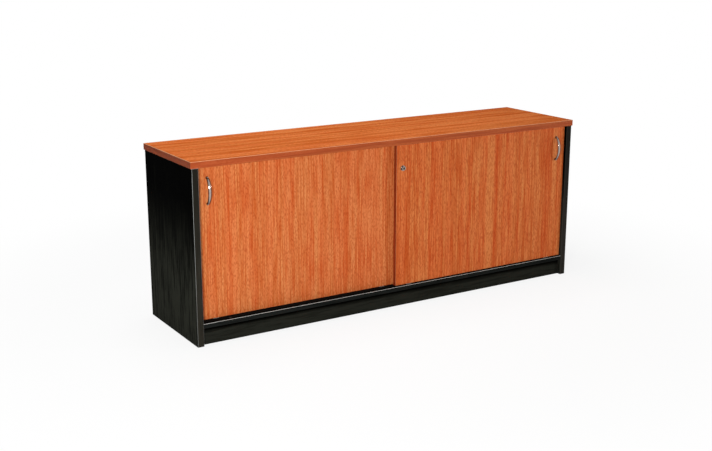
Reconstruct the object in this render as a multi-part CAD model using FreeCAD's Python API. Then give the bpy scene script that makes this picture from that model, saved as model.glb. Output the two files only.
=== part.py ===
import FreeCAD, Part
import math
import os

from FreeCAD import Vector

# Office credenza: a low cupboard with a thick worktop, two dark side panels, a plinth,
# a divided inside with one shelf each side, and two sliding doors that pass each other
# on rollers.  The front door (right) carries a push lock.
#
# Frame: millimetres, origin on the floor under the centre of the worktop,
# +X to the right, +Y to the back, +Z up.

# ---------------------------------------------------------------- driving dimensions
# Worktop and overall size
top_length = 1800.0
top_depth = 450.0
overall_height = 700.0
top_thickness = 25.0

# Edge bands
carcass_band = 2.0
carcass_arris = 1.5
board_band = 1.0
board_arris = 0.8

# Carcass boards
side_thickness = 25.0
side_end_inset = 5.0
side_front_inset = 2.0
side_rear_inset = 1.0
bottom_thickness = 18.0
bottom_front_inset = 5.0
plinth_height = 70.0
kick_thickness = 16.0
kick_front_inset = 21.0
rear_rail_inset = 30.0
centre_rail_thickness = 16.0
back_thickness = 16.0
back_inset = 4.0
divider_thickness = 18.0
divider_door_gap = 6.0
shelf_thickness = 18.0
shelf_end_gap = 1.0
shelf_front_setback = 10.0
shelf_height = 372.0
glide_height = 2.0
glide_radius = 9.0
glide_nail_radius = 1.2
glide_nail_length = 16.0
glide_inset = 45.0

# Doors
door_thickness = 18.0
front_door_inset = 15.0
door_gap = 8.0
door_overlap = 24.0
door_bottom_gap = 3.0
door_top_gap = 3.0
running_gap = 0.3
buffer_thickness = 1.0
buffer_radius = 4.0
buffer_inset = 60.0

# Twin tracks, let into the bottom panel and the worktop
lane_side_gap = 0.8
guide_side_gap = 0.3
track_wall = 1.2
lower_track_depth = 8.0
upper_track_depth = 10.0
stop_length = 12.0

# Bottom rollers
wheel_radius = 14.0
wheel_width = 5.0
wheel_hub_radius = 5.0
wheel_web_width = 2.6
wheel_rim_depth = 3.0
wheel_chamfer = 0.5
axle_radius = 2.0
axle_fit = 0.05
housing_wall = 2.9
housing_end = 7.5
housing_roof = 2.0
wheel_side_gap = 0.6
wheel_top_gap = 1.5
roller_inset = 70.0

# Sprung top guides
guide_inset = 70.0
guide_radius = 3.0
guide_fit = 0.08
guide_reach = 7.0
guide_drop = 8.0
guide_nose = 1.5
collar_radius = 4.6
collar_thickness = 2.0
spigot_radius = 2.0
spigot_length = 8.0
spigot_end_gap = 3.7
collar_side_gap = 0.4
guide_cup_wall = 1.5
guide_cup_floor = 2.0
guide_wire_radius = 0.4
guide_coil_radius = 3.3
guide_coil_turns = 6

# Bow handles
handle_centres = 96.0
handle_projection = 27.0
handle_edge_inset = 48.0
handle_drop = 92.0
handle_clearance = 12.0
bow_width_middle = 10.0
bow_width_end = 7.0
bow_depth_middle = 7.0
bow_depth_end = 6.0
bow_sections = 8
post_radius = 5.5
post_neck_radius = 4.0
post_height = 7.0
handle_screw_radius = 1.95
handle_screw_head_radius = 3.5
handle_screw_head_height = 2.2
handle_screw_bite = 8.0
screw_clearance = 0.15

# Push lock
lock_side_play = 2.0
lock_drop = 94.0
lock_flange_radius = 11.0
lock_flange_thickness = 1.5
lock_tube_radius = 9.5
lock_tube_wall = 1.0
lock_rear_wall = 2.0
lock_bolt_tip_gap = 1.0
lock_fit = 0.05
lock_bolt_radius = 4.0
lock_coil_space = 11.0
lock_plug_radius = 5.5
lock_plug_depth = 10.0
lock_plug_end_gap = 0.3
lock_face_chamfer = 0.6
keyway_width = 1.6
keyway_height = 7.0
keyway_depth = 8.0
lock_wire_radius = 0.4
lock_coil_turns = 4
coil_end_gap = 0.1
strike_width = 12.0
strike_height = 34.0
strike_gap = 2.0
strike_edge_inset = 0.5
strike_arris = 1.0
strike_screw_spacing = 20.0
wood_screw_radius = 1.5
wood_screw_head_radius = 3.0
wood_screw_head_height = 1.8
strike_screw_length = 14.0

# Knock-down fittings
fit_gap = 0.1
cam_radius = 7.5
cam_depth = 12.5
cam_reach = 24.0
cam_slot_width = 1.6
cam_slot_depth = 1.5
cam_slot_length = 9.0
cam_bolt_radius = 3.0
cam_bolt_thread = 11.0
cam_bolt_head_radius = 3.4
cam_bolt_head_length = 3.0
cam_bolt_neck_radius = 2.2
cam_bolt_neck_length = 4.0
dowel_radius = 4.0
dowel_length = 30.0
fitting_front_inset = 110.0
fitting_rear_inset = 90.0
dowel_offset = 40.0
rail_dowel_radius = 3.0
rail_dowel_length = 24.0
rail_dowel_spacing = 32.0

# Shelf pins and the rows of holes they stand in
pin_radius = 2.5
pin_hole_depth = 10.0
pin_length = 18.0
pin_front_inset = 40.0
pin_rear_inset = 45.0
pin_pitch = 32.0
pin_rows_each_way = 2

# Back panel screws
back_screw_radius = 2.0
back_screw_head_radius = 4.0
back_screw_head_height = 2.2
back_screw_length = 34.0
back_screws_wide = 6
back_screws_high = 3
back_screw_end_inset = 80.0

# ---------------------------------------------------------------- derived levels
front = -top_depth / 2
rear = top_depth / 2
top_under = overall_height - top_thickness
bottom_top = plinth_height + bottom_thickness
side_outer = top_length / 2 - side_end_inset
side_inner = side_outer - side_thickness
side_front = front + side_front_inset
side_rear = rear - side_rear_inset
back_rear = side_rear - back_inset
back_front = back_rear - back_thickness

front_lane = front + front_door_inset + door_thickness / 2
lane_spacing = door_thickness + door_gap
rear_lane = front_lane + lane_spacing
door_bottom = bottom_top + door_bottom_gap
door_top = top_under - door_top_gap
door_close_gap = buffer_thickness + running_gap
door_width = side_inner + door_overlap / 2 - door_close_gap
door_outer = side_inner - door_close_gap
divider_front = rear_lane + door_thickness / 2 + divider_door_gap
shelf_front = divider_front + shelf_front_setback
shelf_outer = side_inner - shelf_end_gap
shelf_inner = divider_thickness / 2 + shelf_end_gap
shelf_under = shelf_height - shelf_thickness / 2

lower_lane_width = wheel_width + 2 * lane_side_gap
upper_lane_width = 2 * (guide_radius + guide_side_gap)
lower_lane_floor = bottom_top - lower_track_depth + track_wall
wheel_height = lower_lane_floor + running_gap + wheel_radius
housing_length = 2 * (wheel_radius + wheel_top_gap + housing_end)
housing_width = wheel_width + 2 * (wheel_side_gap + housing_wall)
housing_height = wheel_height + wheel_radius + wheel_top_gap + housing_roof - door_bottom

collar_top = door_top - guide_cup_floor - running_gap
collar_under = collar_top - collar_thickness
guide_cup_radius = collar_radius + collar_side_gap + guide_cup_wall
spring_seat = collar_under - spigot_length - guide_drop - spigot_end_gap
guide_cup_height = door_top - spring_seat + guide_cup_floor

handle_height = door_top - handle_drop
handle_x = door_outer - handle_edge_inset
lock_travel = door_gap - lock_bolt_tip_gap
lock_x = door_overlap / 2 + lock_side_play + lock_bolt_radius
lock_height = door_top - lock_drop
door_travel = handle_x - bow_width_middle / 2 - door_overlap / 2 - handle_clearance

X = Vector(1, 0, 0)
Y = Vector(0, 1, 0)
Z = Vector(0, 0, 1)


# ---------------------------------------------------------------- shape helpers
def block(x0, x1, y0, y1, z0, z1):
    """A box between two corners."""
    return Part.makeBox(x1 - x0, y1 - y0, z1 - z0, Vector(x0, y0, z0))


def rod(start, direction, radius, length):
    """A cylinder that starts at a point and runs along a direction."""
    return Part.makeCylinder(radius, length, start, direction)


def cone(start, direction, radius, end_radius, length):
    """A cone that starts at a point and runs along a direction."""
    return Part.makeCone(radius, end_radius, length, start, direction)


def group(solids):
    """Separate solids that share one node."""
    return Part.makeCompound(solids)


def drilled(shape, cutters):
    """The shape with all the cutters taken out."""
    return shape.cut(cutters) if cutters else shape


def rounded(shape, radius, wanted):
    """The shape with the edges rounded whose two ends both pass the test."""
    edges = [e for e in shape.Edges if all(wanted(v.Point) for v in e.Vertexes)]
    return shape.makeFillet(radius, edges)


def rounded_nosing(slab, radius):
    """A level slab with the two long arrises of its front edge rounded."""
    box = slab.BoundBox
    edges = [e for e in slab.Edges
             if all(v.Y < box.YMin + fit_gap for v in e.Vertexes)
             and abs(e.Vertexes[0].Z - e.Vertexes[1].Z) < fit_gap]
    return slab.makeFillet(radius, edges)


def mirrored(shape):
    """The shape reflected to the other side of the centre plane."""
    return shape.mirror(Vector(0, 0, 0), X)


def coil(start, direction, radius, wire_radius, length, turns):
    """A helical spring between two ends."""
    height = length - 2 * wire_radius
    helix = Part.makeHelix(height / turns, height, radius)
    section = Part.Wire(Part.Circle(Vector(radius, 0, 0), Y, wire_radius).toShape())
    spring = Part.Wire(helix).makePipeShell([section], True, True)
    spring.translate(Vector(0, 0, wire_radius))
    spring.rotate(Vector(0, 0, 0), Z.cross(direction) if direction != Z else Z,
                  math.degrees(Z.getAngle(direction)))
    spring.translate(start)
    return spring


def obround(length, width, height, centre, base):
    """An upright prism with half-round ends, as a router cuts it."""
    half = length / 2 - width / 2
    middle = block(centre.x - half, centre.x + half, centre.y - width / 2,
                   centre.y + width / 2, base, base + height)
    ends = [rod(Vector(centre.x + s * half, centre.y, base), Z, width / 2, height)
            for s in (-1, 1)]
    return middle.fuse(ends).removeSplitter()


# ---------------------------------------------------------------- knock-down fittings
class CamJoint:
    """A cam lock and its bolt: the bolt crosses the joint between two boards."""

    def __init__(self, seat, inward, face, board):
        """seat: where the bolt crosses the joint; inward: into the board with the cam;
        face: out of that board's face the cam is bored from; board: its thickness."""
        self.seat = seat
        self.inward = inward
        self.face = face
        self.centre = seat + inward * cam_reach
        self.mouth = self.centre + face * (board / 2)

    def bolt(self):
        """Thread, shank, narrow neck and round head in one piece."""
        neck_start = cam_reach - cam_bolt_neck_length - cam_bolt_head_length / 2
        thread = rod(self.seat, self.inward * -1, cam_bolt_radius, cam_bolt_thread)
        shank = rod(self.seat, self.inward, cam_bolt_radius, neck_start)
        neck_at = self.seat + self.inward * neck_start
        neck = rod(neck_at, self.inward, cam_bolt_neck_radius, cam_bolt_neck_length)
        head_at = neck_at + self.inward * cam_bolt_neck_length
        head = rod(head_at, self.inward, cam_bolt_head_radius, cam_bolt_head_length)
        return thread.fuse([shank, neck, head]).removeSplitter()

    def cam(self):
        """The round eccentric with a pocket for the bolt's head and a driver's cross."""
        body = rod(self.mouth, self.face * -1, cam_radius, cam_depth)
        pocket = rod(self.centre - self.inward * cam_radius, self.inward,
                     cam_bolt_head_radius + fit_gap, cam_radius + cam_bolt_head_length)
        slot = Part.makeBox(cam_slot_length, cam_slot_width, cam_slot_depth)
        slot.translate(Vector(-cam_slot_length / 2, -cam_slot_width / 2, 0))
        cross = slot.fuse(slot.rotated(Vector(0, 0, 0), Z, 90))
        turn = FreeCAD.Rotation(Z, self.face * -1)
        cross.Placement = FreeCAD.Placement(self.mouth, turn)
        return body.cut([pocket, cross])

    def cutters_in_cam_board(self):
        """The cam's bore and the hole along which the bolt reaches it."""
        bore = rod(self.mouth, self.face * -1, cam_radius + fit_gap, cam_depth + fit_gap)
        hole = rod(self.seat, self.inward, cam_bolt_head_radius + fit_gap,
                   cam_reach + cam_bolt_head_length)
        return [bore, hole]

    def cutters_in_bolt_board(self):
        """The hole the bolt is screwed into."""
        return [rod(self.seat, self.inward * -1, cam_bolt_radius + fit_gap,
                    cam_bolt_thread + fit_gap)]


def dowel(seat, direction, radius=dowel_radius, length=dowel_length):
    """A wooden dowel centred on a joint."""
    return rod(seat - direction * (length / 2), direction, radius, length)


def dowel_hole(seat, direction, radius=dowel_radius, length=dowel_length):
    """The hole for a dowel, on both sides of the joint."""
    return dowel(seat, direction, radius + fit_gap, length + 2 * fit_gap)


fitting_front = front + fitting_front_inset
fitting_rear = rear - fitting_rear_inset
side_middle = side_outer - side_thickness / 2
bottom_middle = bottom_top - bottom_thickness / 2


def side_to_top_joints(side):
    """Cams in a side panel's inner face, bolts up into the worktop."""
    return [CamJoint(Vector(side * side_middle, y, top_under), Z * -1, X * -side,
                     side_thickness) for y in (fitting_front, fitting_rear)]


def bottom_to_side_joints(side):
    """Cams under the bottom panel, bolts into a side panel."""
    return [CamJoint(Vector(side * side_inner, y, bottom_middle), X * -side, Z * -1,
                     bottom_thickness) for y in (fitting_front, fitting_rear)]


def divider_to_top_joints():
    """Cams in the divider's right face, bolts up into the worktop."""
    return [CamJoint(Vector(0, y, top_under), Z * -1, X, divider_thickness)
            for y in (fitting_front, fitting_rear)]


def divider_to_bottom_joints():
    """Cams in the divider's right face, bolts down into the bottom panel."""
    return [CamJoint(Vector(0, y, bottom_top), Z, X, divider_thickness)
            for y in (fitting_front, fitting_rear)]


def all_cam_joints():
    """Every cam joint of the carcass."""
    sides = [joint for side in (-1, 1)
             for joint in side_to_top_joints(side) + bottom_to_side_joints(side)]
    return sides + divider_to_top_joints() + divider_to_bottom_joints()


def top_dowel_seats():
    """Dowels from the worktop down into the side panels and the divider."""
    return [Vector(x, y, top_under) for x in (-side_middle, 0, side_middle)
            for y in (fitting_front + dowel_offset, fitting_rear - dowel_offset)]


def bottom_dowel_seats(side):
    """Dowels from one side panel into the bottom panel's end."""
    return [Vector(side * side_inner, y, bottom_middle)
            for y in (fitting_front + dowel_offset, fitting_rear - dowel_offset)]


def divider_dowel_seats():
    """Dowels from the bottom panel up into the divider."""
    return [Vector(0, y, bottom_top)
            for y in (fitting_front + dowel_offset, fitting_rear - dowel_offset)]


kick_front = front + kick_front_inset
kick_middle = kick_front + kick_thickness / 2
rear_rail_rear = side_rear - rear_rail_inset
rear_rail_middle = rear_rail_rear - kick_thickness / 2
plinth_middle = (glide_height + plinth_height) / 2


def rail_dowel_seats(side):
    """Dowels from one side panel into the ends of the kickboard and the rear rail."""
    return [Vector(side * side_inner, y, plinth_middle + s * rail_dowel_spacing / 2)
            for y in (kick_middle, rear_rail_middle) for s in (-1, 1)]


def centre_rail_dowel_seats():
    """Dowels from the kickboard and the rear rail into the centre rail's ends."""
    return [Vector(0, y, plinth_middle + s * rail_dowel_spacing / 2)
            for y in (kick_front + kick_thickness, rear_rail_rear - kick_thickness)
            for s in (-1, 1)]


rail_dowel = {"radius": rail_dowel_radius, "length": rail_dowel_length}


def make_dowels():
    """All the wooden dowels."""
    pieces = [dowel(seat, Z) for seat in top_dowel_seats() + divider_dowel_seats()]
    for side in (-1, 1):
        pieces += [dowel(seat, X) for seat in bottom_dowel_seats(side)]
        pieces += [dowel(seat, X, **rail_dowel) for seat in rail_dowel_seats(side)]
    pieces += [dowel(seat, Y, **rail_dowel) for seat in centre_rail_dowel_seats()]
    return group(pieces)


# ---------------------------------------------------------------- worktop
def worktop_slab():
    """The whole worktop with its rounded arrises, before it is split into bands."""
    slab = block(-top_length / 2, top_length / 2, front, rear, top_under, overall_height)
    return slab.makeFillet(carcass_arris, slab.Edges)


def make_worktop():
    """The core board, grooved underneath for the upper track."""
    core = worktop_slab().common(block(
        -top_length / 2 + carcass_band, top_length / 2 - carcass_band,
        front + carcass_band, rear - carcass_band, top_under, overall_height))
    cutters = [track_strip(upper_lane_width, top_under, top_under + upper_track_depth)]
    joints = side_to_top_joints(-1) + side_to_top_joints(1) + divider_to_top_joints()
    for joint in joints:
        cutters += joint.cutters_in_bolt_board()
    cutters += [dowel_hole(seat, Z) for seat in top_dowel_seats()]
    return drilled(core, cutters)


def make_worktop_front_band():
    """The band on the front edge, from end to end."""
    return worktop_slab().common(block(-top_length / 2, top_length / 2, front,
                                       front + carcass_band, top_under, overall_height))


def make_worktop_edge_bands():
    """The bands on the two ends and on the rear edge."""
    slab = worktop_slab()
    ends = [slab.common(block(x, x + carcass_band, front + carcass_band, rear,
                              top_under, overall_height))
            for x in (-top_length / 2, top_length / 2 - carcass_band)]
    back = slab.common(block(-top_length / 2 + carcass_band,
                             top_length / 2 - carcass_band,
                             rear - carcass_band, rear, top_under, overall_height))
    return group(ends + [back])


# ---------------------------------------------------------------- side panels
def side_slab(side):
    """One side panel with its front band, before the split."""
    slab = block(side_inner, side_outer, side_front, side_rear, glide_height, top_under)
    slab = rounded(slab, carcass_arris, lambda p: p.y < side_front + fit_gap)
    return slab if side > 0 else mirrored(slab)


def pin_heights():
    """Levels of the shelf pin holes: the pins in use and some to spare."""
    seat = shelf_under - pin_radius
    return [seat + n * pin_pitch for n in range(-pin_rows_each_way, pin_rows_each_way + 1)]


def pin_columns():
    """Where the front and rear columns of pin holes stand."""
    return [shelf_front + pin_front_inset, back_front - pin_rear_inset]


def pin_holes(x, direction):
    """Both columns of shelf pin holes in one board face."""
    return [rod(Vector(x, y, z), direction, pin_radius + fit_gap, pin_hole_depth)
            for y in pin_columns() for z in pin_heights()]


def glide_places():
    """The four points under the side panels that rest on the floor."""
    return [(side * side_middle, y) for side in (-1, 1)
            for y in (side_front + glide_inset, side_rear - glide_inset)]


def make_side_panel(side):
    """A side panel without its front band, bored for the fittings."""
    core = side_slab(side).common(block(-side_outer, side_outer, side_front + carcass_band,
                                        side_rear, glide_height, top_under))
    cutters = pin_holes(side * side_inner, X * side)
    for joint in side_to_top_joints(side):
        cutters += joint.cutters_in_cam_board()
    for joint in bottom_to_side_joints(side):
        cutters += joint.cutters_in_bolt_board()
    cutters += [dowel_hole(seat, Z) for seat in top_dowel_seats() if seat.x * side > 0]
    cutters += [dowel_hole(seat, X) for seat in bottom_dowel_seats(side)]
    cutters += [dowel_hole(seat, X, **rail_dowel) for seat in rail_dowel_seats(side)]
    cutters += [rod(Vector(x, y, glide_height), Z, glide_nail_radius + fit_gap,
                    glide_nail_length + fit_gap)
                for x, y in glide_places() if x * side > 0]
    return drilled(core, cutters)


def make_side_front_band(side):
    """The rounded band on a side panel's front edge."""
    return side_slab(side).common(block(-side_outer, side_outer, side_front,
                                        side_front + carcass_band, glide_height, top_under))


# ---------------------------------------------------------------- bottom and plinth
bottom_front = front + bottom_front_inset


def bottom_slab():
    """The bottom panel with its front band, before the split."""
    slab = block(-side_inner, side_inner, bottom_front, back_front, plinth_height, bottom_top)
    return rounded_nosing(slab, carcass_arris)


def make_bottom_panel():
    """The bottom panel, grooved on top for the lower track."""
    core = bottom_slab().common(block(-side_inner, side_inner, bottom_front + carcass_band,
                                      back_front, plinth_height, bottom_top))
    cutters = [track_strip(lower_lane_width, bottom_top - lower_track_depth, bottom_top)]
    for side in (-1, 1):
        for joint in bottom_to_side_joints(side):
            cutters += joint.cutters_in_cam_board()
        cutters += [dowel_hole(seat, X) for seat in bottom_dowel_seats(side)]
    for joint in divider_to_bottom_joints():
        cutters += joint.cutters_in_bolt_board()
    cutters += [dowel_hole(seat, Z) for seat in divider_dowel_seats()]
    return drilled(core, cutters + back_screw_holes())


def make_bottom_front_band():
    """The rounded band on the bottom panel's front edge."""
    return bottom_slab().common(block(-side_inner, side_inner, bottom_front,
                                      bottom_front + carcass_band, plinth_height, bottom_top))


def make_kickboard():
    """The recessed front board of the plinth."""
    board = block(-side_inner, side_inner, kick_front, kick_front + kick_thickness,
                  glide_height, plinth_height)
    return drilled(board, plinth_dowel_holes())


def make_rear_plinth_rail():
    """The rear board of the plinth."""
    board = block(-side_inner, side_inner, rear_rail_rear - kick_thickness, rear_rail_rear,
                  glide_height, plinth_height)
    return drilled(board, plinth_dowel_holes())


def make_plinth_centre_rail():
    """The short rail that carries the middle of the bottom panel."""
    board = block(-centre_rail_thickness / 2, centre_rail_thickness / 2,
                  kick_front + kick_thickness, rear_rail_rear - kick_thickness,
                  glide_height, plinth_height)
    return drilled(board, plinth_dowel_holes())


def plinth_dowel_holes():
    """Every dowel hole of the three plinth boards."""
    seats = rail_dowel_seats(-1) + rail_dowel_seats(1)
    return ([dowel_hole(seat, X, **rail_dowel) for seat in seats]
            + [dowel_hole(seat, Y, **rail_dowel) for seat in centre_rail_dowel_seats()])


# ---------------------------------------------------------------- inside boards
def make_back_panel():
    """The back board between the side panels, behind the bottom panel and divider."""
    board = block(-side_inner, side_inner, back_front, back_rear, plinth_height, top_under)
    return drilled(board, back_screw_holes())


def back_screw_places():
    """A row along the bottom panel's rear edge and a column up the divider."""
    reach = side_inner - back_screw_end_inset
    row = [(-reach + 2 * reach * n / (back_screws_wide - 1), bottom_middle)
           for n in range(back_screws_wide)]
    rise = (top_under - bottom_top) / (back_screws_high + 1)
    column = [(0.0, bottom_top + rise * (n + 1)) for n in range(back_screws_high)]
    return row + column


def back_screw(x, z, extra):
    """One countersunk screw driven in from the back, or its hole."""
    seat = Vector(x, back_rear, z)
    shank = rod(seat, Y * -1, back_screw_radius + extra, back_screw_length + extra)
    head = cone(seat, Y * -1, back_screw_head_radius + extra, back_screw_radius + extra,
                back_screw_head_height)
    return shank.fuse(head).removeSplitter()


def back_screw_holes():
    """The holes for the back panel's screws."""
    return [back_screw(x, z, fit_gap) for x, z in back_screw_places()]


def make_back_panel_screws():
    """Countersunk screws, flush with the back panel's rear face."""
    return group([back_screw(x, z, 0.0) for x, z in back_screw_places()])


def divider_slab():
    """The divider with its front band, before the split."""
    slab = block(-divider_thickness / 2, divider_thickness / 2, divider_front, back_front,
                 bottom_top, top_under)
    return rounded(slab, board_arris, lambda p: p.y < divider_front + fit_gap)


def make_centre_divider():
    """The upright board between the two compartments."""
    core = divider_slab().common(block(-divider_thickness, divider_thickness,
                                       divider_front + board_band, back_front,
                                       bottom_top, top_under))
    cutters = []
    for joint in divider_to_top_joints() + divider_to_bottom_joints():
        cutters += joint.cutters_in_cam_board()
    cutters += [dowel_hole(seat, Z) for seat in top_dowel_seats() + divider_dowel_seats()]
    for y in pin_columns():
        for z in pin_heights():
            cutters.append(rod(Vector(-divider_thickness, y, z), X,
                               pin_radius + fit_gap, 2 * divider_thickness))
    return drilled(core, cutters + back_screw_holes())


def make_divider_front_band():
    """The band on the divider's front edge."""
    return divider_slab().common(block(-divider_thickness, divider_thickness, divider_front,
                                       divider_front + board_band, bottom_top, top_under))


def shelf_slab(side):
    """One shelf with its front band, before the split."""
    slab = block(shelf_inner, shelf_outer, shelf_front, back_front, shelf_under,
                 shelf_under + shelf_thickness)
    slab = rounded_nosing(slab, board_arris)
    return slab if side > 0 else mirrored(slab)


def make_shelf(side):
    """A loose shelf that rests on its four pins."""
    return shelf_slab(side).common(block(-side_inner, side_inner, shelf_front + board_band,
                                         back_front, shelf_under,
                                         shelf_under + shelf_thickness))


def make_shelf_front_bands():
    """The bands on both shelves' front edges."""
    strip = block(-side_inner, side_inner, shelf_front, shelf_front + board_band,
                  shelf_under, shelf_under + shelf_thickness)
    return group([shelf_slab(side).common(strip) for side in (-1, 1)])


def shelf_pin(x, y, outward):
    """A steel pin: its tail is in the board, its nose under the shelf."""
    z = shelf_under - pin_radius
    tail = Vector(x, y, z) - outward * (pin_hole_depth - fit_gap)
    if abs(x) < side_inner / 2:
        tail = Vector(x, y, z) - outward * (divider_thickness / 2 - fit_gap)
    nose = Vector(x, y, z) + outward * (pin_length - pin_hole_depth)
    return rod(tail, outward, pin_radius, (nose - tail).Length)


def make_shelf_pins():
    """Four pins under each shelf."""
    pins = []
    for side in (-1, 1):
        for y in pin_columns():
            pins.append(shelf_pin(side * side_inner, y, X * -side))
            pins.append(shelf_pin(side * divider_thickness / 2, y, X * side))
    return group(pins)


def make_floor_glides():
    """Round nail-on glides: a plastic disc on the floor and a nail up into the panel."""
    glides = []
    for x, y in glide_places():
        disc = rod(Vector(x, y, 0), Z, glide_radius, glide_height)
        nail = rod(Vector(x, y, 0), Z, glide_nail_radius, glide_height + glide_nail_length)
        glides.append(disc.fuse(nail).removeSplitter())
    return group(glides)


# ---------------------------------------------------------------- tracks
def track_strip(lane_width, low, high):
    """The whole strip that holds both lanes, or the groove it is let into."""
    half = lane_width / 2 + track_wall
    return block(-side_inner, side_inner, front_lane - half, rear_lane + half, low, high)


def twin_track(lane_width, level, upward, depth):
    """A strip with one lane for each door; upward is 1 where the lanes open up."""
    base = level - upward * depth
    strip = track_strip(lane_width, *sorted((base, level)))
    low, high = sorted((base + upward * track_wall, level))
    lanes = [block(-side_inner, side_inner, lane - lane_width / 2, lane + lane_width / 2,
                   low, high) for lane in (front_lane, rear_lane)]
    low, high = sorted((base, level - upward * track_wall))
    half = lane_width / 2 + track_wall
    relief = block(-side_inner, side_inner, front_lane + half, rear_lane - half, low, high)
    return strip.cut(lanes + [relief])


def make_lower_track():
    """The running track, flush with the bottom panel's upper face."""
    return twin_track(lower_lane_width, bottom_top, 1, lower_track_depth)


def make_upper_track():
    """The guide track, flush with the worktop's lower face."""
    return twin_track(upper_lane_width, top_under, -1, upper_track_depth)


def make_track_stops():
    """A rubber plug in each lane, where the leading wheel ends its run."""
    sunk = bottom_top - lower_lane_floor - running_gap
    half_chord = math.sqrt(wheel_radius ** 2 - (wheel_radius - sunk) ** 2)
    wheel_x = -door_overlap / 2 + roller_inset
    end = wheel_x - door_travel - half_chord - running_gap
    half = lower_lane_width / 2
    front_stop = block(end - stop_length, end, front_lane - half, front_lane + half,
                       lower_lane_floor, bottom_top)
    rear_stop = block(-end, -end + stop_length, rear_lane - half, rear_lane + half,
                      lower_lane_floor, bottom_top)
    return group([front_stop, rear_stop])


def make_door_buffers():
    """Thin round pads on the side panels, where the doors close."""
    pads = []
    for side, lane in ((-1, rear_lane), (1, front_lane)):
        for z in (door_bottom + buffer_inset, door_top - buffer_inset):
            pads.append(rod(Vector(side * side_inner, lane, z), X * -side, buffer_radius,
                            buffer_thickness))
    return group(pads)


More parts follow.
